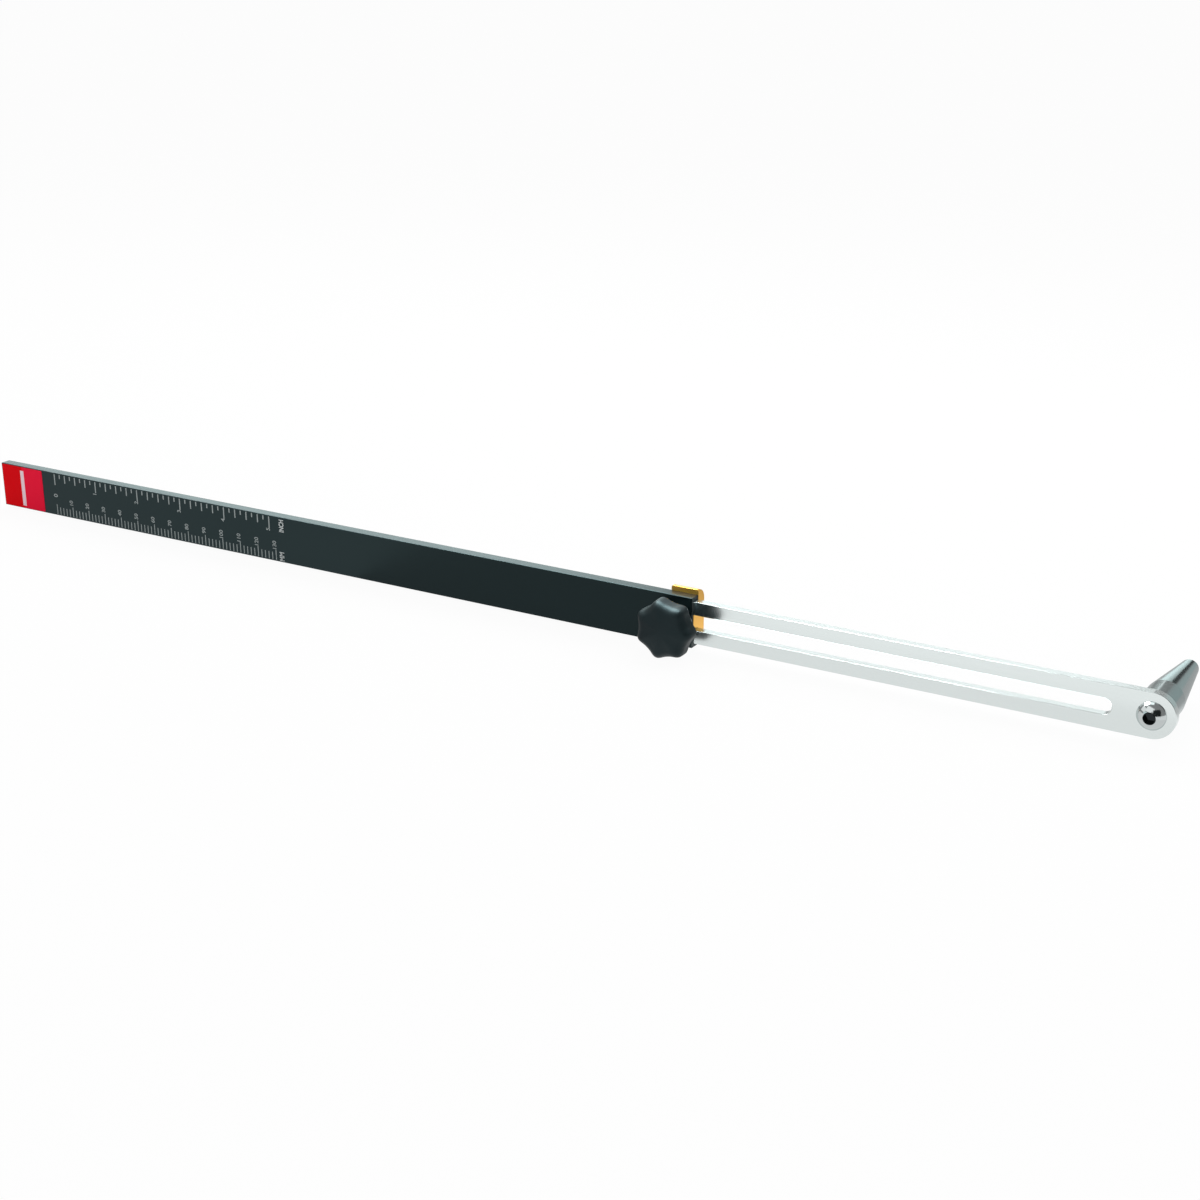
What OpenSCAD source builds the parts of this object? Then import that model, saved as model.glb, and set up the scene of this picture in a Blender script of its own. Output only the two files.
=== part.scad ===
// Suspension sag scale: a slotted arm slides in the back of a channel-section
// scale bar, and a star knob clamps the two together. The stepped and tapered
// pin on the arm's end goes into a hollow wheel axle.
//
// Frame: origin on the pin's axis at the arm's back face, +X along the bar
// towards the pin end, +Y away from the scale (the way the pin points), +Z up
// across the bar. Everything is drawn as set in rest, with the knob tight.

/* [Arm] */
// Thickness of the slotted arm
arm_t = 3.5; // [3:0.1:5]
// Distance from the pin's axis to the near end of the slot
slot_start = 13.9; // [11:0.1:25]
// Length of the slot over its round ends
slot_len = 208; // [195:1:230]
// Arm left beyond the far end of the slot
arm_tail = 10; // [6:0.5:20]
// Chamfer on the arm's edges
arm_chamfer = 0.15; // [0.1:0.05:0.5]

/* [Scale bar] */
// Length of the scale bar
bar_len = 368.3; // [300:0.1:450]
// Height of the scale bar, across the graduations
bar_h = 20.6; // [19:0.1:26]
// Thickness of the bar's front web
bar_web = 1.0; // [0.8:0.1:2]
// Thickness of the bar's top and bottom lips
bar_lip = 1.5; // [1:0.1:2]
// How far the lips stand past the arm's back face
lip_proud = 0.35; // [0.2:0.05:1]
// Radius of the bar's outer corners
bar_corner = 0.25; // [0.2:0.05:0.8]
// Distance from the pin's axis to the near end of the bar, as set
reach = 177.9; // [160:0.1:190]

/* [Graduations] */
// Distance from the bar's far end to the zero lines
zero_inset = 33.7; // [30:0.1:45]
// Last line of the millimetre scale
mm_max = 130; // [40:10:200]
// Pitch of the millimetre scale's lines
mm_pitch = 2; // [1:1:5]
// Length of an ordinary millimetre line
mm_line = 3.5; // [2:0.1:4]
// Length of each tenth-millimetre line
mm_long_line = 4.8; // [4:0.1:6]
// Width of a millimetre line
mm_line_w = 0.45; // [0.3:0.05:0.6]
// Last line of the inch scale
inch_max = 5; // [2:1:8]
// Length of an eighth-inch line
inch_line = 1.9; // [1:0.1:2.5]
// Length of a quarter-inch line
inch_mid_line = 3.7; // [2.6:0.1:4.2]
// Length of a whole-inch line
inch_long_line = 5.3; // [4.4:0.1:6.5]
// Width of an inch line
inch_line_w = 0.6; // [0.3:0.05:0.8]
// Bare strip between the lines and the bar's edges
line_margin = 0.55; // [0.5:0.05:1]
// Depth of the engraved and filled lines
line_depth = 0.12; // [0.05:0.01:0.2]

/* [End label] */
// Length of the red label on the bar's far end
label_len = 25.7; // [15:0.1:28]
// Thickness of the label
label_t = 0.12; // [0.08:0.01:0.3]
// Bare strip between the label and the bar's edges
label_margin = 0.3; // [0.3:0.05:1]

/* [Clamp] */
// Distance from the bar's near end to the clamp bolt's axis
bolt_inset = 6.1; // [5:0.1:12]
// Width of the clamp block, along the bar
block_w = 11.8; // [11:0.1:20]
// Distance from the bolt's axis to the block's middle, towards the pin
block_shift = 0.4; // [0:0.1:1]
// Thickness of the block behind the bar
block_t = 4.85; // [3:0.05:8]
// How far the block rises past the bar's top edge
block_rise = 2.0; // [0.5:0.1:4]
// Gap between the block's foot and the bar's bottom edge
foot_gap = 0.3; // [0:0.1:1]
// Radius of the block's corners, seen from the front
block_corner = 1.0; // [0.5:0.1:3]
// Shank diameter of the clamp bolt
bolt_d = 5.9; // [4.9:0.1:6.4]
// Diameter of the clamp bolt's domed head
bolt_head_d = 11; // [9:0.1:16]
// Height of the clamp bolt's domed head
bolt_head_h = 3.2; // [2:0.1:4]
// Length of thread inside the knob with the clamp tight
bolt_engage = 9.7; // [6:0.1:10]
// Outer diameter of the washer under the knob
washer_d = 12.4; // [11:0.1:16]
// Thickness of the washer
washer_t = 1.0; // [0.6:0.1:2]

/* [Knob] */
// Diameter of the knob over its lobes
knob_d = 24.4; // [22:0.1:32]
// Number of lobes
knob_lobes = 7; // [5:1:9]
// How deep the hollows between the lobes are
knob_hollow = 1.4; // [1:0.1:3]
// Height of the lobed head
knob_head_h = 8.5; // [8:0.1:14]
// Height of the round hub under the head
knob_hub_h = 5.7; // [4:0.1:8]
// Diameter of the round hub
knob_hub_d = 12.8; // [12:0.1:16]
// Radius of the head's front edge
knob_edge_r = 3.5; // [2:0.1:4]
// Rise of the domed front face over its flat rim
knob_dome = 0.7; // [0.2:0.1:1.5]
// Turn of the knob, as set
knob_turn = 12.5; // [0:0.5:51]
// Outer diameter of the brass insert
insert_d = 9; // [8:0.1:10]
// Length of the brass insert
insert_len = 11; // [11:0.1:12]

/* [Axle pin] */
// Diameter of the pin's straight base
pin_d = 14.2; // [12:0.1:16]
// Length of the straight base
pin_base_len = 13.5; // [8:0.1:20]
// Whole length of the pin
pin_len = 47.3; // [36:0.1:70]
// Diameter of the pin's tip
pin_tip_d = 6.8; // [5:0.1:8]
// Radius of the rounded tip
pin_tip_r = 1.2; // [0.5:0.1:2]
// Depth of the threaded hole in the pin's base
pin_hole_len = 14; // [12.8:0.1:16]
// Shank diameter of the screw that holds the pin
screw_d = 5.9; // [4.9:0.1:6.4]
// Diameter of the screw's button head
screw_head_d = 10.5; // [9:0.1:12]
// Height of the screw's button head
screw_head_h = 3.3; // [2.5:0.1:4]
// Length of the screw under its head
screw_len = 16; // [14:0.5:16]
// Size of the screw's hexagon socket, across flats
socket_af = 4; // [3:0.1:5]
// Depth of the hexagon socket
socket_depth = 2.2; // [1.5:0.1:2.4]

/* [Clearances] */
// Gap at the arm's front and back, in the channel and at the clamp pad
face_clear = 0.05; // [0.03:0.01:0.15]
// Gap between the arm's edges and the channel's lips
edge_clear = 0.15; // [0.1:0.01:0.4]
// Gap at each side of the clamp bolt in the slot
slot_clear = 0.15; // [0.1:0.01:0.4]
// Radial gap of a bolt or screw in a plain hole
hole_clear = 0.25; // [0.15:0.01:0.5]
// Radial gap of a thread, drawn as a plain shank in a plain hole
thread_clear = 0.05; // [0.02:0.01:0.08]

/* [Hidden] */
$fn = 96;
INCH = 25.4;
// Overlap that makes a cut run clear of a face
CUT = 1;
// Sides of the knob's head over each lobe, and rings on each rounded edge
LOBE_SIDES = 12;
EDGE_RINGS = 6;
// Swing of a second wave that flattens the sides between the lobes
LOBE_FLAT = 0.1;
// Radius of the head's back edge, and height of the screw head's straight rim
KNOB_BACK_R = 1.2;
HEAD_RIM = 0.4;
// Share of a hexagon's flats that gives its corner radius
HEX_R = 1 / sqrt(3);
// Width of the bevel round a mouth or a nose
MOUTH_BEVEL = 0.5;
// Flat left at the block's top and foot in front of its round back edges
BLOCK_FLAT = 0.2;
// Distance kept between the bolt and the ribs beside it in the slot
RIB_GAP = 0.8;

// The channel takes the arm, and the pad on the block fills what is left
channel_h = bar_h - 2 * bar_lip;
arm_h = channel_h - 2 * edge_clear;
bar_d = bar_web + face_clear + arm_t + lip_proud;
bar_front = -arm_t - face_clear - bar_web;
bar_back = bar_front + bar_d;
bar_near = -reach;
bar_far = bar_near - bar_len;
zero_x = bar_far + zero_inset;

slot_w = bolt_d + 2 * slot_clear;
slot_near = -slot_start;
slot_far = slot_near - slot_len;
arm_far = slot_far - arm_tail;

bolt_x = bar_near - bolt_inset;
block_far = bolt_x + block_shift - block_w / 2;
block_near = block_far + block_w;
block_back = bar_back + block_t;
block_top = bar_h / 2 + block_rise;
block_bottom = -bar_h / 2 + foot_gap;
block_round = block_t - BLOCK_FLAT;
rib_w = slot_w - 2 * slot_clear;
rib_gap = bolt_d / 2 + RIB_GAP;
neck_w = bolt_d + 2 * thread_clear;
knob_seat = bar_front - washer_t;
bolt_tip = knob_seat - bolt_engage;
thread_bore_d = bolt_d + 2 * thread_clear;

// Carries a shape drawn on the XY plane, X to the right and Y up, to the front
// view, so that it fills the depth from y = back to y = front
module front_view(front, back) {
    translate([0, back, 0]) rotate([90, 0, 0]) linear_extrude(back - front) children();
}

// Carries a section drawn as depth and height along the bar, from x = far to near
module along_bar(far, near) {
    translate([far, 0, 0]) rotate([90, 0, 90]) linear_extrude(near - far) children();
}

// Turns a shape made upright so that it points away from the scale, or towards the user
module pointing_back(x, y) {
    translate([x, y, 0]) rotate([-90, 0, 0]) children();
}

module pointing_front(x, y) {
    translate([x, y, 0]) rotate([90, 0, 0]) children();
}

// The waste outside a rounded corner whose arc is centred on the origin
module corner_waste(r) {
    difference() {
        square(r + CUT);
        circle(r = r);
    }
}

// A rectangle from corner [x0, y0] to [x1, y1] with its own radius at each corner:
// upper right, upper left, lower left, lower right
module rounded_box(x0, y0, x1, y1, radii) {
    ends = [[x1, y1], [x0, y1], [x0, y0], [x1, y0]];
    inward = [[-1, -1], [1, -1], [1, 1], [-1, 1]];
    difference() {
        translate([x0, y0]) square([x1 - x0, y1 - y0]);
        for (i = [0:3]) {
            centre = ends[i] + radii[i] * inward[i];
            translate(centre) rotate(90 * i) corner_waste(radii[i]);
        }
    }
}

// A cylinder standing on z = 0 with a bevel at each end
module bevelled_disc(r, h, bevel) {
    cylinder(r1 = r - bevel, r2 = r, h = bevel);
    translate([0, 0, bevel]) cylinder(r = r, h = h - 2 * bevel);
    translate([0, 0, h - bevel]) cylinder(r1 = r, r2 = r - bevel, h = bevel);
}

// A domed head standing on z = 0: a short straight rim, then part of a ball
module domed_head(d, h) {
    rise = h - HEAD_RIM;
    ball_r = (pow(d / 2, 2) + pow(rise, 2)) / (2 * rise);
    intersection() {
        cylinder(d = d, h = h);
        translate([0, 0, h - ball_r]) sphere(r = ball_r);
    }
}

// Section of the arm, or of a slot cut with bevels, as depth and height
module arm_section(height, bevel) {
    half = height / 2;
    inner = half - bevel;
    polygon([[-arm_t, -inner], [-arm_t + bevel, -half], [-bevel, -half], [0, -inner],
        [0, inner], [-bevel, half], [-arm_t + bevel, half], [-arm_t, inner]]);
}

// One end of the slot, with a bevel at each face, and the straight part beside it
module slot_end(x) {
    pointing_front(x, CUT) cylinder(d = slot_w, h = arm_t + 2 * CUT);
    pointing_front(x, 0) cylinder(d1 = slot_w + 2 * arm_chamfer, d2 = slot_w, h = arm_chamfer);
    pointing_back(x, -arm_t) cylinder(d1 = slot_w + 2 * arm_chamfer, d2 = slot_w, h = arm_chamfer);
}

module slot_straight(far, near) {
    half = slot_w / 2;
    wide = half + arm_chamfer;
    along_bar(far, near) {
        polygon([[-arm_t, -wide], [-arm_t + arm_chamfer, -half], [-arm_chamfer, -half], [0, -wide],
            [0, wide], [-arm_chamfer, half], [-arm_t + arm_chamfer, half], [-arm_t, wide]]);
        translate([-arm_t - CUT, -half]) square([arm_t + 2 * CUT, slot_w]);
    }
}

module slotted_arm() {
    color("#d8dedd") difference() {
        union() {
            along_bar(arm_far, 0) arm_section(arm_h, arm_chamfer);
            pointing_front(0, 0) bevelled_disc(arm_h / 2, arm_t, arm_chamfer);
        }
        slot_end(slot_near - slot_w / 2);
        slot_end(slot_far + slot_w / 2);
        slot_straight(slot_far + slot_w / 2, slot_near - slot_w / 2);
        pointing_front(0, CUT) cylinder(d = screw_d + 2 * hole_clear, h = arm_t + 2 * CUT);
    }
}

// The rounded edge of the tip is an arc that meets the taper and the end face
module axle_pin() {
    tip_r = pin_tip_d / 2;
    color("#aab2b4") pointing_back(0, 0) difference() {
        rotate_extrude() {
            square([pin_d / 2, pin_base_len]);
            polygon([[0, pin_base_len], [pin_d / 2, pin_base_len], [tip_r, pin_len - pin_tip_r],
                [0, pin_len - pin_tip_r]]);
            square([tip_r - pin_tip_r, pin_len]);
            translate([tip_r - pin_tip_r, pin_len - pin_tip_r]) intersection() {
                circle(r = pin_tip_r);
                square(pin_tip_r);
            }
        }
        translate([0, 0, -CUT]) cylinder(d = screw_d + 2 * thread_clear, h = pin_hole_len + CUT);
        translate([0, 0, -MOUTH_BEVEL / 2])
            cylinder(d1 = screw_d + 2 * MOUTH_BEVEL, d2 = screw_d, h = MOUTH_BEVEL);
    }
}

module pin_screw() {
    color("#9aa2a4") {
        difference() {
            pointing_front(0, -arm_t) domed_head(screw_head_d, screw_head_h);
            pointing_front(0, -arm_t - screw_head_h + socket_depth)
                cylinder(r = socket_af * HEX_R, h = socket_depth + CUT, $fn = 6);
        }
        pointing_back(0, -arm_t) cylinder(d = screw_d, h = screw_len - MOUTH_BEVEL);
        pointing_back(0, -arm_t + screw_len - MOUTH_BEVEL)
            cylinder(d1 = screw_d, d2 = screw_d - 2 * MOUTH_BEVEL, h = MOUTH_BEVEL);
    }
}

// Lines of each scale, as places and lengths: [x, length]
function mm_length(v) = v % 10 == 0 ? mm_long_line : mm_line;
function eighth_length(n) = n % 8 == 0 ? inch_long_line : n % 2 == 0 ? inch_mid_line : inch_line;
mm_places = [for (v = [0:mm_pitch:mm_max]) [zero_x + v, mm_length(v)]];
inch_places = [for (n = [0:8 * inch_max]) [zero_x + n * INCH / 8, eighth_length(n)]];

// The millimetre lines stand on the bottom edge, and the inch lines hang from the top
module mm_line_boxes(front) {
    for (p = mm_places)
        translate([p[0] - mm_line_w / 2, front, -bar_h / 2 + line_margin])
            cube([mm_line_w, bar_front + line_depth - front, p[1]]);
}

module inch_line_boxes(front) {
    for (p = inch_places)
        translate([p[0] - inch_line_w / 2, front, bar_h / 2 - line_margin - p[1]])
            cube([inch_line_w, bar_front + line_depth - front, p[1]]);
}

module scale_bar() {
    outer = [bar_corner, bar_corner, bar_corner, bar_corner];
    color("#23282a") difference() {
        along_bar(bar_far, bar_near) difference() {
            rounded_box(bar_front, -bar_h / 2, bar_back, bar_h / 2, outer);
            translate([bar_front + bar_web, -channel_h / 2]) square([bar_d, channel_h]);
        }
        mm_line_boxes(bar_front - CUT);
        inch_line_boxes(bar_front - CUT);
        pointing_front(bolt_x, bar_back) cylinder(d = bolt_d + 2 * hole_clear, h = bar_d + CUT);
    }
}

module mm_lines() {
    color("#aeb4b4") mm_line_boxes(bar_front);
}

module inch_lines() {
    color("#aeb4b4") inch_line_boxes(bar_front);
}

module end_label() {
    half = bar_h / 2 - label_margin;
    radii = [0.6, 0.6, 0.6, 0.6];
    color("#c4121e") front_view(bar_front - label_t, bar_front)
        rounded_box(bar_far + label_margin, -half, bar_far + label_len, half, radii);
}

// Section of the block: its back edges are round, and a pad reaches between the
// lips to press on the arm
module block_section() {
    rounded_box(bar_back, block_bottom, block_back, block_top,
        [block_round, bar_corner, bar_corner, block_round]);
    translate([face_clear, -arm_h / 2]) square([bar_back - face_clear + block_t / 2, arm_h]);
}

// A rib at each side of the bolt guides the block along the arm's slot
module slot_rib(far, near) {
    translate([far, -arm_t, -rib_w / 2]) cube([near - far, arm_t + bar_back, rib_w]);
}

module clamp_block() {
    hole = neck_w + 2 * thread_clear;
    color("#d99a1c") difference() {
        union() {
            intersection() {
                along_bar(block_far, block_near) block_section();
                front_view(face_clear, block_back)
                    rounded_box(block_far, block_bottom, block_near, block_top,
                        [block_corner, block_corner, block_corner, block_corner]);
            }
            slot_rib(block_far, bolt_x - rib_gap);
            slot_rib(bolt_x + rib_gap, block_near);
        }
        translate([bolt_x - hole / 2, 0, -hole / 2]) cube([hole, block_back + CUT, hole]);
    }
}

// The square neck under the head stops the bolt from turning in the block
module clamp_bolt() {
    color("#8f979a") {
        pointing_back(bolt_x, block_back) domed_head(bolt_head_d, bolt_head_h);
        translate([bolt_x - neck_w / 2, face_clear, -neck_w / 2])
            cube([neck_w, block_back - face_clear, neck_w]);
        pointing_back(bolt_x, bolt_tip + MOUTH_BEVEL)
            cylinder(d = bolt_d, h = block_back - bolt_tip - MOUTH_BEVEL);
        pointing_back(bolt_x, bolt_tip)
            cylinder(d1 = bolt_d - 2 * MOUTH_BEVEL, d2 = bolt_d, h = MOUTH_BEVEL);
    }
}

module knob_washer() {
    color("#b4babc") pointing_front(bolt_x, bar_front) difference() {
        cylinder(d = washer_d, h = washer_t);
        translate([0, 0, -CUT]) cylinder(d = bolt_d + 2 * hole_clear, h = washer_t + 2 * CUT);
    }
}

// Outline of the head: full radius on each lobe, less in the flattened hollows
function lobe_radius(a) = knob_d / 2 - knob_hollow * (1 - cos(knob_lobes * a)) / 2
    - LOBE_FLAT * (1 - cos(2 * knob_lobes * a));

// Rings of the head from its back face to its front, as [inset from the outline, height]
back_edge = [for (i = [0:EDGE_RINGS])
    [KNOB_BACK_R * (1 - sin(90 * i / EDGE_RINGS)), KNOB_BACK_R * (1 - cos(90 * i / EDGE_RINGS))]];
rim_h = knob_head_h - knob_dome;
front_edge = [for (i = [0:EDGE_RINGS])
    [knob_edge_r * (1 - cos(90 * i / EDGE_RINGS)), rim_h - knob_edge_r * (1 - sin(90 * i / EDGE_RINGS))]];
head_rings = concat(back_edge, front_edge);

// The domed front is a bowl of rings that shrink to the middle
DOME_SHARES = [0.75, 0.5, 0.25];

module lobed_head() {
    sides = knob_lobes * LOBE_SIDES;
    angles = [for (i = [0:sides - 1]) 360 * i / sides];
    edge = [for (ring = head_rings, a = angles)
        [(lobe_radius(a) - ring[0]) * cos(a), (lobe_radius(a) - ring[0]) * sin(a), ring[1]]];
    dome = [for (s = DOME_SHARES, a = angles)
        [s * (lobe_radius(a) - knob_edge_r) * cos(a), s * (lobe_radius(a) - knob_edge_r) * sin(a),
            rim_h + knob_dome * (1 - s * s)]];
    rings = len(head_rings) + len(DOME_SHARES);
    points = concat(edge, dome, [[0, 0, 0], [0, 0, knob_head_h]]);
    back_mid = rings * sides;
    front_mid = back_mid + 1;
    walls = [for (r = [0:rings - 2], i = [0:sides - 1])
        let (j = (i + 1) % sides, low = r * sides, high = low + sides)
        each [[low + i, high + i, high + j], [low + i, high + j, low + j]]];
    back = [for (i = [0:sides - 1]) [back_mid, i, (i + 1) % sides]];
    last = (rings - 1) * sides;
    front = [for (i = [0:sides - 1]) [front_mid, last + (i + 1) % sides, last + i]];
    polyhedron(points = points, faces = concat(walls, back, front), convexity = 4);
}

module knob_body() {
    color("#2a3134") pointing_front(bolt_x, knob_seat) difference() {
        union() {
            cylinder(d = knob_hub_d, h = knob_hub_h + CUT);
            translate([0, 0, knob_hub_h]) rotate(knob_turn + 90) lobed_head();
        }
        translate([0, 0, -CUT]) cylinder(d = insert_d, h = insert_len + CUT);
    }
}

// Two grooves round the brass lock it in the moulded knob
module knob_insert() {
    groove = 0.6;
    color("#c9a24a") pointing_front(bolt_x, knob_seat) difference() {
        cylinder(d = insert_d, h = insert_len);
        translate([0, 0, -CUT]) cylinder(d = thread_bore_d, h = insert_len + 2 * CUT);
        for (share = [1 / 3, 2 / 3])
            translate([0, 0, share * insert_len]) difference() {
                cylinder(d = insert_d + CUT, h = groove);
                cylinder(d = insert_d - groove, h = groove);
            }
    }
}

slotted_arm();
axle_pin();
pin_screw();
scale_bar();
mm_lines();
inch_lines();
end_label();
clamp_block();
clamp_bolt();
knob_washer();
knob_body();
knob_insert();
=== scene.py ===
# %% [markdown]
# # A suspension sag scale
# A mechanic sets this scale against a motorcycle to read how far its suspension sinks under
# the rider. The tapered pin goes into the wheel axle, the slotted arm slides in the black
# channel bar, the star knob clamps the two, and the graduations are read against a mark on
# the bodywork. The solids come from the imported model, and these cells add the camera, the
# light, the finishes, the printed figures and a smooth knob. Lengths are written in
# millimetres and turned to metres by MM.

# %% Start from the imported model
import math

import bmesh
import bpy
from mathutils import Matrix, Vector


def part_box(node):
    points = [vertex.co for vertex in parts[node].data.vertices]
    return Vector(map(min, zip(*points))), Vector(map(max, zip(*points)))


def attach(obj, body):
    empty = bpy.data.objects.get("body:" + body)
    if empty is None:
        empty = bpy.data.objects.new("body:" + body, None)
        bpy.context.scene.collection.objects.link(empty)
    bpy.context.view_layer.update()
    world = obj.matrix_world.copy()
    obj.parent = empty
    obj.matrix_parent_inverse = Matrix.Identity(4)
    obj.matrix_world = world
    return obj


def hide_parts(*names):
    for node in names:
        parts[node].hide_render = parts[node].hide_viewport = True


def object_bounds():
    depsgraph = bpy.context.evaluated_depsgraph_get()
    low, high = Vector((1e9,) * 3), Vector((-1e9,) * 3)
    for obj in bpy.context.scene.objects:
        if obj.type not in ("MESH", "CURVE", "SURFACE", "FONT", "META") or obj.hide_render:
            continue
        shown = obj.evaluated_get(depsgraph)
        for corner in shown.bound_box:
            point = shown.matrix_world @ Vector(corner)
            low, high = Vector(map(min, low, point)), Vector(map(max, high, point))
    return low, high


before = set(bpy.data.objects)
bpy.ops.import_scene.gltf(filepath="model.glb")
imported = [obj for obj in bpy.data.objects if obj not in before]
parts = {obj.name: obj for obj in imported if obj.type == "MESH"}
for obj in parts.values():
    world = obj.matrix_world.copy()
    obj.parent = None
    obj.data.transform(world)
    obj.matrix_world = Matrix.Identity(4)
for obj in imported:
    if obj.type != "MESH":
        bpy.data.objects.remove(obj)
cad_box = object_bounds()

MM = 0.001
print("CAD box in mm:", [[round(v / MM, 1) for v in corner] for corner in cad_box])

# %% [markdown]
# ## Placing things
# Blender keeps what a thing is, such as a mesh, a lens or a lamp, apart from the object that
# stands in the scene. One function joins the two. Another sets an object down in millimetres
# and points it at a place, which suits lamps and cards alike, and a third makes the plain
# rectangles of the floor and the cards.

# %% Placing helpers
def put(name, data):
    """A new object in the scene that holds a mesh, a text, a lens or a lamp."""
    made = bpy.data.objects.new(name, data)
    bpy.context.collection.objects.link(made)
    return made


def aim(made, place_mm, target_mm):
    """Sets an object down and turns its face, its -Z side, to a target."""
    made.location = Vector(place_mm) * MM
    line = Vector(target_mm) * MM - made.location
    made.rotation_euler = line.to_track_quat("-Z", "Y").to_euler()


def sheet(name, wide, tall, material):
    """A level rectangle in the scene, its middle at the origin."""
    x, y = wide / 2, tall / 2
    mesh = bpy.data.meshes.new(name)
    mesh.from_pydata([(-x, -y, 0), (x, -y, 0), (x, y, 0), (-x, y, 0)], [], [(0, 1, 2, 3)])
    mesh.materials.append(material)
    return put(name, mesh)


print("solids in the frame:", len(parts))

# %% [markdown]
# ## The camera
# The bar carries its own ruler, so the place of every line in the photograph tells where the
# camera stood. A lens of about 59 mm, held level and looking down by some 20 degrees from the
# right of the bar, puts all 107 lines back within a pixel. Its angles come from that fit, so
# they are written out, and it isn't aimed at a place.

# %% Camera
CAMERA_AT_MM = (150.71, -636.64, 274.85)
CAMERA_TURN_DEG = (69.5676, 0.0953, 30.2823)
LENS_MM = 59.281
SENSOR_MM = 36
NEAR_M = 0.01
FAR_M = 100

lens = bpy.data.cameras.new("camera")
lens.lens = LENS_MM
lens.sensor_width = SENSOR_MM
lens.sensor_fit = "HORIZONTAL"
lens.clip_start = NEAR_M
lens.clip_end = FAR_M
camera = put("camera", lens)
camera.location = Vector(CAMERA_AT_MM) * MM
camera.rotation_euler = [math.radians(a) for a in CAMERA_TURN_DEG]
bpy.context.scene.camera = camera
print("camera", [round(v, 3) for v in camera.location], "lens", LENS_MM)

# %% [markdown]
# ## Colours and nodes
# Colours are written as the hex values that a screen shows, and one function turns them to
# the linear values that the renderer works with. A second function adds any shader node with
# its settings, values and links, so that each material below reads as a short list.

# %% Colour and node helpers
def colour(code, alpha=1.0):
    """Linear colour of an sRGB hex value such as '#c80a10'."""
    shares = [int(code[i:i + 2], 16) / 255 for i in (1, 3, 5)]
    linear = [c / 12.92 if c <= 0.04045 else ((c + 0.055) / 1.055) ** 2.4 for c in shares]
    return (*linear, alpha)


def add(tree, kind, inputs=None, **settings):
    """Adds a node: settings are its properties, inputs its sockets' values or their links."""
    made = tree.nodes.new(kind)
    for name, value in settings.items():
        setattr(made, name, value)
    for socket, value in (inputs or {}).items():
        if isinstance(value, bpy.types.NodeSocket):
            tree.links.new(value, made.inputs[socket])
        else:
            made.inputs[socket].default_value = value
    return made


def blank(name):
    """A new material without nodes, and its empty tree."""
    made = bpy.data.materials.new(name)
    made.use_nodes = True
    made.node_tree.nodes.clear()
    return made, made.node_tree


def surface(name, **sockets):
    """A material with one Principled shader. Socket names have _ for a space."""
    made, tree = blank(name)
    values = {key.replace("_", " "): value for key, value in sockets.items()}
    shader = add(tree, "ShaderNodeBsdfPrincipled", values)
    add(tree, "ShaderNodeOutputMaterial", {"Surface": shader.outputs["BSDF"]})
    return made, tree, shader


print("mid grey #808080 is linear", round(colour("#808080")[0], 3))

# %% [markdown]
# ## Marks in a surface
# Sanding, rolling, blasting and moulding all leave marks of some length, width and depth. One
# noise, stretched to those sizes, stands for them. The marks then do one of two things:
# they make the gloss uneven, or they press the surface in and out a little.

# %% Mark helpers
NOISE_LOW = 0.3
NOISE_HIGH = 0.7


def grain(tree, lengths_mm, detail=2.0):
    """Noise whose marks have the given lengths along X, Y and Z, mostly from 0.3 to 0.7."""
    place = add(tree, "ShaderNodeTexCoord")
    scale = [1 / (length * MM) for length in lengths_mm]
    shaped = add(tree, "ShaderNodeMapping",
                 {"Vector": place.outputs["Object"], "Scale": scale})
    noise = add(tree, "ShaderNodeTexNoise",
                {"Vector": shaped.outputs["Vector"], "Scale": 1.0, "Detail": detail})
    return noise.outputs["Fac"]


def uneven_gloss(tree, shader, marks, by):
    """Lets the roughness wander with the marks, up and down from the shader's own value."""
    rough = shader.inputs["Roughness"]
    wander = add(tree, "ShaderNodeMapRange",
                 {"Value": marks, "From Min": NOISE_LOW, "From Max": NOISE_HIGH,
                  "To Min": rough.default_value - by, "To Max": rough.default_value + by})
    tree.links.new(wander.outputs["Result"], rough)


def press(tree, shader, marks, strength, depth_mm):
    """Presses the marks into the surface, to a depth in mm times a strength."""
    bump = add(tree, "ShaderNodeBump",
               {"Height": marks, "Strength": strength, "Distance": depth_mm * MM})
    tree.links.new(bump.outputs["Normal"], shader.inputs["Normal"])


print("noise is spread from", NOISE_LOW, "to", NOISE_HIGH)

# %% [markdown]
# ## Bright aluminium, brushed lengthwise
# The arm is a flat strip with its faces sanded along its length and left bare. The scratches
# are finer than a tenth of a millimetre, so they are drawn coarser, at a quarter, as long thin
# streaks in the roughness with a trace of bump. That roughness is what blurs the knob's
# reflection beside the bar.

# %% Arm material
ARM_GRAIN_MM = (30, 0.25, 0.25)

arm_metal, tree, shader = surface(
    "bare_aluminium_brushed", Base_Color=colour("#e2e9e8"), Metallic=1.0, Roughness=0.22)
streaks = grain(tree, ARM_GRAIN_MM)
uneven_gloss(tree, shader, streaks, by=0.03)
press(tree, shader, streaks, strength=0.03, depth_mm=0.01)
print(arm_metal.name)

# %% [markdown]
# ## Black anodised aluminium
# The bar is an extruded channel, anodised and dyed black. The dye sits in a thin clear oxide
# layer, so straight on it is nearly black and at a low angle, as on its top edge, it shows
# a grey sheen. The die leaves lines along the bar. They are finer than 0.1 mm and are drawn
# at 0.3 mm.

# %% Bar material
BAR_GRAIN_MM = (60, 0.3, 0.3)

bar_metal, tree, shader = surface(
    "black_anodised_aluminium", Base_Color=colour("#1b2b2d"), Metallic=0.75, Roughness=0.34)
lines = grain(tree, BAR_GRAIN_MM)
uneven_gloss(tree, shader, lines, by=0.04)
press(tree, shader, lines, strength=0.05, depth_mm=0.01)
print(bar_metal.name)

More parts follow.
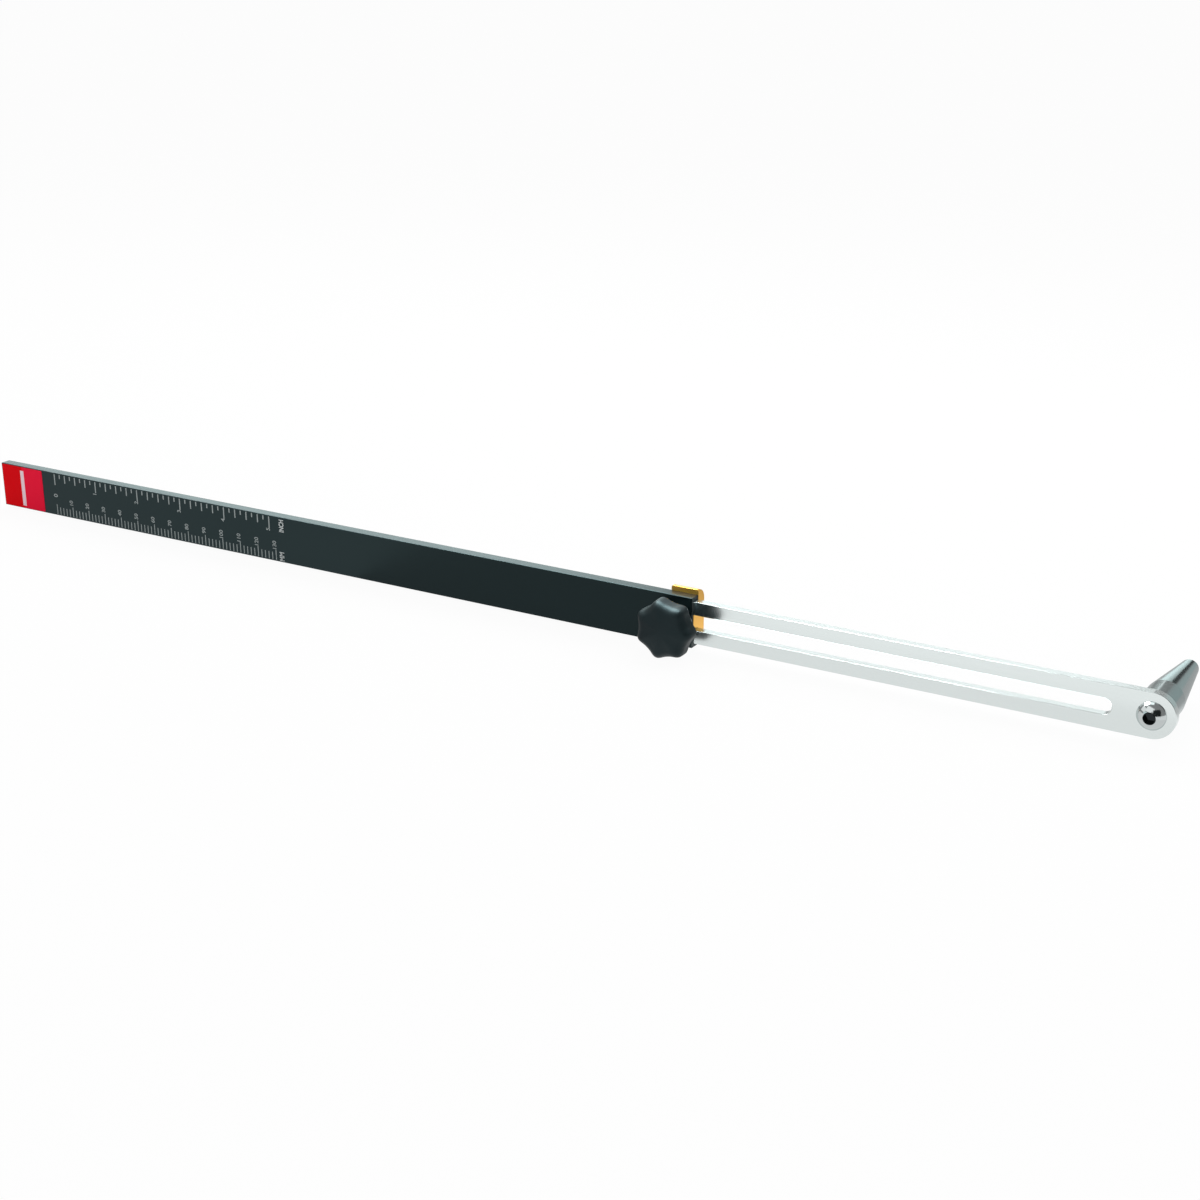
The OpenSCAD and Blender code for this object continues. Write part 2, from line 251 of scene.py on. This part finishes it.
# %% [markdown]
# ## Gold anodised aluminium
# The clamp block is milled, blasted to a satin face, and anodised gold. It stays a metal, so
# its colour tints what it reflects, and the blasting spreads each reflection wide. Its grains
# are about a tenth of a millimetre and are drawn a little coarser.

# %% Block material
BLAST_GRAIN_MM = (0.15, 0.15, 0.15)

block_metal, tree, shader = surface(
    "gold_anodised_aluminium", Base_Color=colour("#ffc359"), Metallic=0.95, Roughness=0.32)
uneven_gloss(tree, shader, grain(tree, BLAST_GRAIN_MM), by=0.04)
print(block_metal.name)

# %% [markdown]
# ## Steel: the pin, its screw, and the clamp's bolt and washer
# The pin is turned and polished, with faint rings left by the lathe about its axis. They are
# drawn at 0.35 mm, which is coarser than a real cut. The button-head screw is bright nickel
# plated, smooth enough to mirror the room. Its socket gets a dark base colour, a painted shade
# for the deep recess. A circle through the corners of its 4 mm hexagon, measured across the
# screw's axis, tells where that is. The bolt and the washer are zinc plated, which is duller
# and slightly blue.

# %% Steel materials
LATHE_RING_MM = (400, 0.35, 400)
SOCKET_R_MM = 2.32
NICKEL = colour("#c6cccc")
# Painted shade: this dark base colour stands for the shade in the screw's deep socket.
SOCKET_PAINTED_SHADE = colour("#2c3032")
ACROSS = (1, 0, 1)

pin_metal, tree, shader = surface(
    "turned_steel_polished", Base_Color=colour("#b3bdbd"), Metallic=1.0, Roughness=0.19)
uneven_gloss(tree, shader, grain(tree, LATHE_RING_MM), by=0.05)

screw_metal, tree, shader = surface(
    "nickel_plated_steel", Base_Color=NICKEL, Metallic=1.0, Roughness=0.12)
place = add(tree, "ShaderNodeTexCoord")
flat = add(tree, "ShaderNodeVectorMath",
           {0: place.outputs["Object"], 1: ACROSS}, operation="MULTIPLY")
reach = add(tree, "ShaderNodeVectorMath", {0: flat.outputs["Vector"]}, operation="LENGTH")
# Inside the socket's circle the base colour turns to the painted shade.
socket_shade_mask = add(tree, "ShaderNodeMath",
             {0: reach.outputs["Value"], 1: SOCKET_R_MM * MM}, operation="LESS_THAN")
nickel_and_socket_shade = add(tree, "ShaderNodeMix", {"Factor": socket_shade_mask.outputs["Value"]}, data_type="RGBA")
nickel_and_socket_shade.inputs["A"].default_value = NICKEL
nickel_and_socket_shade.inputs["B"].default_value = SOCKET_PAINTED_SHADE
tree.links.new(nickel_and_socket_shade.outputs["Result"], shader.inputs["Base Color"])

zinc_metal, tree, shader = surface(
    "zinc_plated_steel", Base_Color=colour("#aab0b6"), Metallic=1.0, Roughness=0.32)

brass_metal, tree, shader = surface(
    "turned_brass", Base_Color=colour("#d6b25a"), Metallic=1.0, Roughness=0.25)
print(pin_metal.name, screw_metal.name, zinc_metal.name, brass_metal.name)

# %% [markdown]
# ## Moulded nylon
# The knob is glass-filled nylon moulded in a spark-eroded tool, which leaves a fine satin
# texture. Its grains of about 0.15 mm spread the highlights over the lobes. At that size they
# don't show, so they are drawn at 0.35 mm.

# %% Knob material
MOULD_GRAIN_MM = (0.35, 0.35, 0.35)

knob_plastic, tree, shader = surface(
    "moulded_nylon_black", Base_Color=colour("#081216"), Roughness=0.46, IOR=1.53,
    Specular_IOR_Level=0.28, Specular_Tint=colour("#d6f6fb"))
pits = grain(tree, MOULD_GRAIN_MM, detail=3.0)
press(tree, shader, pits, strength=0.25, depth_mm=0.02)
print(knob_plastic.name)

# %% [markdown]
# ## Fill and ink
# The lines are engraved and filled with a grey enamel, matt and flush, and the figures are
# printed in the same grey. The words that name the units are a lighter ink.

# %% Fill materials
line_fill, tree, shader = surface(
    "grey_enamel_fill", Base_Color=colour("#98a0a0"), Roughness=0.6)
word_ink, tree, shader = surface(
    "white_screen_ink", Base_Color=colour("#c9cfcf"), Roughness=0.55)
print(line_fill.name, word_ink.name)

# %% [markdown]
# ## Printed vinyl label
# The end of the bar carries a glossy red vinyl label, printed a deeper red towards the bar's
# end and a pinker one towards the ruler. The real print is left out, and a plain pale stripe
# takes its place. The two reds meet behind the stripe.

# %% Label materials
STRIPE_FROM_END = 11.4
STRIPE_WIDE = 2.2

label_low, label_high = [Vector(c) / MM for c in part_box("end_label")]
stripe_x = label_low.x + STRIPE_FROM_END
reds_meet = stripe_x + STRIPE_WIDE / 2

label_vinyl, tree, shader = surface(
    "red_vinyl", Roughness=0.4, IOR=1.5, Specular_IOR_Level=0.03)
place = add(tree, "ShaderNodeTexCoord")
axes = add(tree, "ShaderNodeSeparateXYZ", {"Vector": place.outputs["Object"]})
side = add(tree, "ShaderNodeMath",
           {0: axes.outputs["X"], 1: reds_meet * MM}, operation="GREATER_THAN")
reds = add(tree, "ShaderNodeMix", {"Factor": side.outputs["Value"]}, data_type="RGBA")
reds.inputs["A"].default_value = colour("#e1000e")
reds.inputs["B"].default_value = colour("#f2183c")
tree.links.new(reds.outputs["Result"], shader.inputs["Base Color"])

stripe_ink, tree, shader = surface(
    "pale_vinyl_ink", Base_Color=colour("#efd3dc"), Roughness=0.35)
print(label_vinyl.name, stripe_ink.name, "reds meet at x", round(reds_meet, 1))

# %% [markdown]
# ## Dressing the solids
# Each solid already has its true shape and size, so it keeps its mesh and only its material
# slot changes.

# %% Materials on the solids
FINISHES = {
    "slotted_arm": arm_metal,
    "axle_pin": pin_metal,
    "pin_screw": screw_metal,
    "scale_bar": bar_metal,
    "mm_lines": line_fill,
    "inch_lines": line_fill,
    "end_label": label_vinyl,
    "clamp_block": block_metal,
    "clamp_bolt": zinc_metal,
    "knob_washer": zinc_metal,
    "knob_body": knob_plastic,
    "knob_insert": brass_metal,
}
for name, finish in FINISHES.items():
    slots = parts[name].material_slots
    if not slots:
        parts[name].data.materials.append(finish)
    for slot in slots:
        slot.material = finish
print(len(FINISHES), "solids dressed")

# %% [markdown]
# ## The knob
# The moulded knob has seven broad lobes with shallow hollows between them, a generous round
# over its front edge and a slight dome. It could be cut from a block with Booleans, but rings
# of points joined to one skin give an even mesh that shades smoothly. Each ring is either
# round, as on the hub and the bore, or follows the lobes.

# %% Knob sizes
KNOB_SIDES = 168
KNOB_R = 12.17
KNOB_LOBES = 7
KNOB_HOLLOW = 1.4
LOBE_FLAT = 0.1
KNOB_TURN_DEG = 102.5
HUB_R = 6.4
HUB_H = 5.7
HUB_CHAMFER = 0.3
HUB_FLARE = 0.4
BORE_R = 4.5
BORE_DEPTH = 11
HEAD_H = 8.5
BACK_EDGE_R = 1.2
FRONT_EDGE_R = 3.5
DOME_RISE = 0.7
DOME_SHARES = (0.86, 0.7, 0.52, 0.34, 0.16)
EDGE_STEPS = 8

washer_low, washer_high = [Vector(c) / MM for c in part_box("knob_washer")]
bolt_x = (washer_low.x + washer_high.x) / 2
knob_seat = washer_low.y
print("bolt axis at x", round(bolt_x, 2), "knob seat at y", round(knob_seat, 2))

# %% Knob rings
def lobe_radius(angle):
    """Radius of the head's outline: full on the lobes, less in the hollows."""
    wave = KNOB_LOBES * angle
    hollow = KNOB_HOLLOW * (1 - math.cos(wave)) / 2
    return KNOB_R - hollow - LOBE_FLAT * (1 - math.cos(2 * wave))


def ring_points(lobed, size, height):
    """One ring: size is its radius if round, or its inset from the outline if lobed."""
    points = []
    for i in range(KNOB_SIDES):
        angle = 2 * math.pi * i / KNOB_SIDES
        radius = lobe_radius(angle) - size if lobed else size
        turned = angle + math.radians(KNOB_TURN_DEG)
        points.append((radius * math.cos(turned), radius * math.sin(turned), height))
    return points


def quarter(steps):
    """Angles over a quarter turn."""
    return [math.pi / 2 * i / steps for i in range(steps + 1)]


print("outline from", round(lobe_radius(math.pi / KNOB_LOBES), 2), "to", lobe_radius(0))

# %% Rings from the bottom of the bore, round the outside, to the front
rim = HUB_H + HEAD_H - DOME_RISE
rings = [ring_points(False, radius, height) for radius, height in (
    (BORE_R, BORE_DEPTH), (BORE_R, 0), (HUB_R - HUB_CHAMFER, 0), (HUB_R, HUB_CHAMFER),
    (HUB_R, HUB_H - HUB_FLARE), (HUB_R + HUB_FLARE, HUB_H))]
for a in quarter(EDGE_STEPS):
    rings.append(ring_points(True, BACK_EDGE_R * (1 - math.sin(a)),
                             HUB_H + BACK_EDGE_R * (1 - math.cos(a))))
for a in quarter(EDGE_STEPS):
    rings.append(ring_points(True, FRONT_EDGE_R * (1 - math.cos(a)),
                             rim - FRONT_EDGE_R * (1 - math.sin(a))))
last = rings[-1]
for share in DOME_SHARES:
    lift = DOME_RISE * (1 - share * share)
    rings.append([(x * share, y * share, rim + lift) for x, y, z in last])
print(len(rings), "rings of", KNOB_SIDES, "points")

# %% Skin and piece helpers
def skin(name, rings, start, end):
    """A closed mesh over rings of equal length, ended by a point at each side."""
    count = len(rings[0])
    points = [p for ring in rings for p in ring] + [start, end]
    faces = [(r * count + i, r * count + (i + 1) % count,
              (r + 1) * count + (i + 1) % count, (r + 1) * count + i)
             for r in range(len(rings) - 1) for i in range(count)]
    first, final = len(points) - 2, len(points) - 1
    top = (len(rings) - 1) * count
    faces += [(first, (i + 1) % count, i) for i in range(count)]
    faces += [(final, top + i, top + (i + 1) % count) for i in range(count)]
    made = bpy.data.meshes.new(name)
    made.from_pydata([Vector(p) * MM for p in points], [], faces)
    made.update()
    return made


def piece(name, mesh, material, body):
    """Puts a mesh in the scene as a piece of the object that rides on a body."""
    mesh.materials.append(material)
    made = put(name, mesh)
    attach(made, body)
    return made


print("the skin joins", (len(rings) + 1) * KNOB_SIDES, "faces")

# %% Knob
knob_mesh = skin("knob_moulding", rings, (0, 0, BORE_DEPTH), (0, 0, HUB_H + HEAD_H))
on_bolt = Matrix.Translation(Vector((bolt_x, knob_seat, 0)) * MM)
knob_mesh.transform(on_bolt @ Matrix.Rotation(math.pi / 2, 4, "X"))
knob_mesh.polygons.foreach_set("use_smooth", [True] * len(knob_mesh.polygons))
knob = piece("knob_moulding", knob_mesh, knob_plastic, "knob")
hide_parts("knob_body")
print("knob faces", len(knob_mesh.polygons))

# %% [markdown]
# ## Figures and words
# The figures stand beside their lines and read from the bar's lower edge to its upper one, so
# each is turned a quarter. A text object in Blender's own font is turned to a mesh, scaled to
# the measured height and length, and laid as a film of ink on the bar's face.

# %% Letter helper
INK_MM = 0.03
WELD_MM = 0.001
FONT_DEPTH = 0.01
FONT_STEPS = 4


def letters(text, height, length, weight):
    """Points in mm and faces of a word, its middle at the origin, reading along +X."""
    font = bpy.data.curves.new("word", "FONT")
    font.body = text
    font.offset = weight
    font.extrude = FONT_DEPTH
    font.resolution_u = FONT_STEPS
    word = put("word", font)
    shaped = word.evaluated_get(bpy.context.evaluated_depsgraph_get())
    mesh = bpy.data.meshes.new_from_object(shaped)
    bpy.data.objects.remove(word)
    low = [min(v.co[k] for v in mesh.vertices) for k in range(3)]
    high = [max(v.co[k] for v in mesh.vertices) for k in range(3)]
    tall = height / (high[1] - low[1])
    wide = length / (high[0] - low[0]) if length else tall
    deep = INK_MM / (high[2] - low[2])
    middle = Vector(low).lerp(Vector(high), 0.5)
    to_size = Matrix.Diagonal((wide, tall, deep))
    points = [to_size @ (v.co - middle) for v in mesh.vertices]
    faces = [tuple(p.vertices) for p in mesh.polygons]
    bpy.data.meshes.remove(mesh)
    return points, faces


print("ink is", INK_MM, "mm thick")

# %% Printing helpers
END_TO_ZERO = 33.7

# The text's right side goes up, its top goes left and its face comes to the front.
UPRIGHT = Matrix(((0, -1, 0), (0, 0, -1), (1, 0, 0)))

bar_low = Vector(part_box("scale_bar")[0]) / MM
zero_x = bar_low.x + END_TO_ZERO


def weld(mesh):
    """Joins points that lie together and turns all faces outwards."""
    shell = bmesh.new()
    shell.from_mesh(mesh)
    bmesh.ops.remove_doubles(shell, verts=shell.verts, dist=WELD_MM * MM)
    bmesh.ops.dissolve_degenerate(shell, edges=shell.edges, dist=WELD_MM * MM)
    bmesh.ops.recalc_face_normals(shell, faces=shell.faces)
    shell.to_mesh(mesh)
    shell.free()


def print_words(name, words, material):
    """Prints words on the bar's face, their middles placed from the zero line and the foot."""
    points, faces = [], []
    for text, x, z, height, length, weight in words:
        shape, sides = letters(text, height, length, weight)
        start = len(points)
        centre = Vector((zero_x + x, bar_low.y, bar_low.z + z))
        points += [(centre + UPRIGHT @ p) * MM for p in shape]
        faces += [tuple(start + i for i in side) for side in sides]
    mesh = bpy.data.meshes.new(name)
    mesh.from_pydata(points, [], faces)
    weld(mesh)
    return piece(name, mesh, material, "scale")


print("zero line at x", round(zero_x, 1))

# %% [markdown]
# ### Where they stand
# Millimetre figures are centred 7.4 mm above the bar's foot and inch figures at the feet of
# the whole-inch lines. The zero serves both scales and stands midway between them. The unit
# words are bolder, past the last lines. Without a length, a word keeps the font's own width.

# %% Figures and unit words
INCH = 25.4
LAST_INCH = 5
LAST_MM = 130
FIGURE_EVERY_MM = 10
FIGURE_H = 2.1
FIGURE_WEIGHT = 0.015
FIGURE_SHIFT = -0.7
MM_FIGURE_Z = 7.4
INCH_FIGURE_Z = 14.1
ZERO_H = 2.5
ZERO_SHIFT = -0.2
ZERO_Z = 9.6
WORD_H = 2.6
BOLD_WEIGHT = 0.02

mm_figures = [("0", ZERO_SHIFT, ZERO_Z, ZERO_H, None, BOLD_WEIGHT)]
mm_figures += [(str(v), v + FIGURE_SHIFT, MM_FIGURE_Z, FIGURE_H, None, FIGURE_WEIGHT)
               for v in range(FIGURE_EVERY_MM, LAST_MM + 1, FIGURE_EVERY_MM)]
inch_figures = [(str(n), n * INCH + FIGURE_SHIFT, INCH_FIGURE_Z, FIGURE_H, None, FIGURE_WEIGHT)
                for n in range(1, LAST_INCH + 1)]
unit_words = [
    # text, x from the zero line, z from the foot, height, length, weight
    ("INCH", 133.7, 16.7, WORD_H, 5.6, BOLD_WEIGHT),
    ("MM", 133.2, 2.6, WORD_H, 4.0, BOLD_WEIGHT),
]

print_words("mm_figures", mm_figures, line_fill)
print_words("inch_figures", inch_figures, line_fill)
print_words("unit_words", unit_words, word_ink)
print(len(mm_figures) + len(inch_figures), "figures and", len(unit_words), "words printed")

# %% [markdown]
# ### The label's stripe
# A pale stripe runs up the label, short of both edges. It is a film on the label's face, like
# the print on a real one.

# %% Label stripe
STRIPE_FOOT = 1.1
STRIPE_HEAD = 1.8


def film(name, low, high, material, body):
    """A thin flat block between two corners in mm."""
    spans = list(zip(low, high))
    corners = [(x, y, z) for x in spans[0] for y in spans[1] for z in spans[2]]
    faces = [(0, 1, 3, 2), (4, 6, 7, 5), (0, 4, 5, 1), (2, 3, 7, 6), (0, 2, 6, 4), (1, 5, 7, 3)]
    mesh = bpy.data.meshes.new(name)
    mesh.from_pydata([Vector(c) * MM for c in corners], [], faces)
    mesh.update()
    return piece(name, mesh, material, body)


film("label_stripe",
     (stripe_x, label_low.y - INK_MM / 2, label_low.z + STRIPE_FOOT),
     (stripe_x + STRIPE_WIDE, label_low.y + INK_MM / 2, label_high.z - STRIPE_HEAD),
     stripe_ink, "scale")
print("label from x", round(label_low.x, 1), "to", round(label_high.x, 1))

# %% [markdown]
# ## Floor and light
# The photograph is a product shot on white, with soft light from above and behind and no
# hard shadow. A camera ray sees the floor and the world as white. Only a small share of the
# floor's look comes from the light on it, which keeps a faint shadow under the scale. Mirrors
# see the same white floor in front of the scale, and a greyer one behind it, which shades the
# underside of the pin.

# %% Floor
WHITE = (1, 1, 1, 1)
FLOOR_M = 30.0
FLOOR_GLOW = 0.95
SHADE_FROM_MM = 10
SHADE_TO_MM = 60
SHADE_BEHIND = 0.5

floor_white, tree = blank("white_paper")
ray = add(tree, "ShaderNodeLightPath")
seen = add(tree, "ShaderNodeMath",
           {0: ray.outputs["Is Camera Ray"], 1: ray.outputs["Is Glossy Ray"]},
           operation="MAXIMUM")
seen = add(tree, "ShaderNodeMath",
           {0: seen.outputs["Value"], 1: ray.outputs["Is Transmission Ray"]},
           operation="MAXIMUM")
glow = add(tree, "ShaderNodeMath",
           {0: seen.outputs["Value"], 1: FLOOR_GLOW}, operation="MULTIPLY")
paper = add(tree, "ShaderNodeBsdfDiffuse", {"Color": colour("#f4f4f4")})
place = add(tree, "ShaderNodeTexCoord")
axes = add(tree, "ShaderNodeSeparateXYZ", {"Vector": place.outputs["Object"]})
shade = add(tree, "ShaderNodeMapRange",
            {"Value": axes.outputs["Y"], "From Min": SHADE_FROM_MM * MM,
             "From Max": SHADE_TO_MM * MM, "To Min": 1.0, "To Max": SHADE_BEHIND},
            interpolation_type="SMOOTHSTEP")
mirrored = add(tree, "ShaderNodeMix",
               {"Factor": ray.outputs["Is Glossy Ray"], "A": 1.0, "B": shade.outputs["Result"]})
white = add(tree, "ShaderNodeEmission",
            {"Color": WHITE, "Strength": mirrored.outputs["Result"]})
both = add(tree, "ShaderNodeMixShader",
           {0: glow.outputs["Value"], 1: paper.outputs["BSDF"], 2: white.outputs["Emission"]})
add(tree, "ShaderNodeOutputMaterial", {"Surface": both.outputs["Shader"]})

floor = sheet("floor", FLOOR_M, FLOOR_M, floor_white)
floor.location.z = cad_box[0][2]
print("floor at z", round(floor.location.z / MM, 2), "mm")

# %% [markdown]
# ### The room
# The world is white to the camera, lights the scale at about half of that, and is a dim grey
# room to mirrors, so that the bright panels and dark flags below stand out in them.

# %% World
WORLD_LIGHT = 0.55
WORLD_MIRRORED = 0.3

world = bpy.data.worlds.new("white_room")
world.use_nodes = True
bpy.context.scene.world = world
tree = world.node_tree
tree.nodes.clear()
ray = add(tree, "ShaderNodeLightPath")
seen = add(tree, "ShaderNodeMath",
           {0: ray.outputs["Is Camera Ray"], 1: ray.outputs["Is Transmission Ray"]},
           operation="MAXIMUM")
plain = add(tree, "ShaderNodeMapRange",
            {"Value": seen.outputs["Value"], "To Min": WORLD_LIGHT, "To Max": 1.0})
strength = add(tree, "ShaderNodeMapRange",
               {"Value": ray.outputs["Is Glossy Ray"], "To Min": plain.outputs["Result"],
                "To Max": WORLD_MIRRORED})
sky = add(tree, "ShaderNodeBackground",
          {"Color": WHITE, "Strength": strength.outputs["Result"]})
add(tree, "ShaderNodeOutputWorld", {"Surface": sky.outputs["Background"]})
print("world lights at", WORLD_LIGHT, "and mirrors see", WORLD_MIRRORED)

# %% [markdown]
# ### Softboxes
# A large box above and behind gives most of the light and the faint shadow in front. A weaker
# one, in front and above, lights the faces that the camera sees.

# %% Softboxes
SOFTBOXES = [
    # name, place in mm, aims at in mm, size in mm, radiance
    ("top_box", (-250, 420, 620), (-250, 0, 0), (1300, 500), 2.2),
    ("front_box", (-200, -900, 700), (-250, 0, 0), (900, 500), 0.8),
]
for name, place_mm, aim_mm, size_mm, radiance in SOFTBOXES:
    box = bpy.data.lights.new(name, "AREA")
    box.shape = "RECTANGLE"
    box.size, box.size_y = size_mm[0] * MM, size_mm[1] * MM
    box.energy = radiance * math.pi * box.size * box.size_y
    aim(put(name, box), place_mm, aim_mm)
    print(name, round(box.energy, 2), "W")

# %% [markdown]
# ## Cards that only mirrors see
# Polished metal shows what stands round it. A bright panel behind and to the left gives the
# bar's top edge its grey sheen, a strip beside it whitens the arm's edges, and a low strip
# lights the pin's left side. A black flag draws the dark streak down the pin, and a grey card
# fills its right side. A dark corner beyond the camera puts the black patch on the screw head,
# and the cards in front and to the left give that head its pale ring.
#
# Overhead, a far card and a small near one make the glints on the knob's lobes, and a
# weaker card lights the cap of the screw. The far one stops short of the place that the arm's
# chamfers mirror, because they would flash white there. Two faint flags lie on the floor.
# They make the bar's right half a little darker and take the glare off the arm. Only
# glossy rays see the cards, so they light nothing. A level card is aimed 1 mm off the upright,
# so that its turn is certain.

# %% Cards
CARDS = [
    # name, place in mm, aims at in mm, size in mm, colour, radiance
    ("bar_panel", (-1190, 900, 400), (-1190, 0, 400), (1030, 560), "#edffff", 2.8),
    ("arm_strip", (-430, 900, 385), (-430, 0, 385), (430, 100), "#fbffff", 1.75),
    ("pin_strip", (-215, 900, 80), (-215, 0, 80), (290, 200), "#edffff", 1.4),
    ("streak_flag", (5, 880, 215), (5, 0, 215), (150, 240), "#edffff", 0.02),
    ("right_card", (330, 900, 150), (330, 0, 150), (440, 500), "#edffff", 0.5),
    ("dark_corner", (520, -720, 320), (0, 0, 0), (860, 760), "#edffff", 0.02),
    ("overhead_card", (-755, 145, 900), (-755, 144, 0), (610, 650), "#f7ffff", 23.0),
    ("cap_card", (-225, 110, 900), (-225, 109, 0), (450, 720), "#f7ffff", 1.6),
    ("knob_card", (-190, -15, 200), (-190, -14, 0), (140, 100), "#f7ffff", 22.0),
    ("screw_card", (-300, -640, 560), (0, 0, 0), (620, 560), "#ffffff", 1.2),
    ("left_card", (-950, -480, 420), (0, 0, 0), (700, 520), "#ffffff", 1.1),
    ("front_card", (-700, -900, 130), (0, 0, 0), (700, 420), "#edffff", 0.9),
    ("bar_flag", (-271, -100, -11.7), (-271, -99, 900), (142, 200), "#fffbfb", 0.61),
    ("arm_flag", (-75, -18, -11.7), (-75, -17, 900), (210, 36), "#ffffff", 0.88),
]
for name, place_mm, aim_mm, size_mm, tint, radiance in CARDS:
    shine, tree = blank(name)
    lit = add(tree, "ShaderNodeEmission", {"Color": colour(tint), "Strength": radiance})
    add(tree, "ShaderNodeOutputMaterial", {"Surface": lit.outputs["Emission"]})
    card = sheet(name, size_mm[0] * MM, size_mm[1] * MM, shine)
    aim(card, place_mm, aim_mm)
    card.visible_camera = False
    card.visible_diffuse = False
    card.visible_transmission = False
    card.visible_shadow = False
print(len(CARDS), "cards placed")

# %% [markdown]
# ## Colour view
# The plain Standard view shows each colour about as it is written. The model's box before the
# dressing is written out at the start.

# %% Finish
bpy.context.scene.view_settings.view_transform = "Standard"
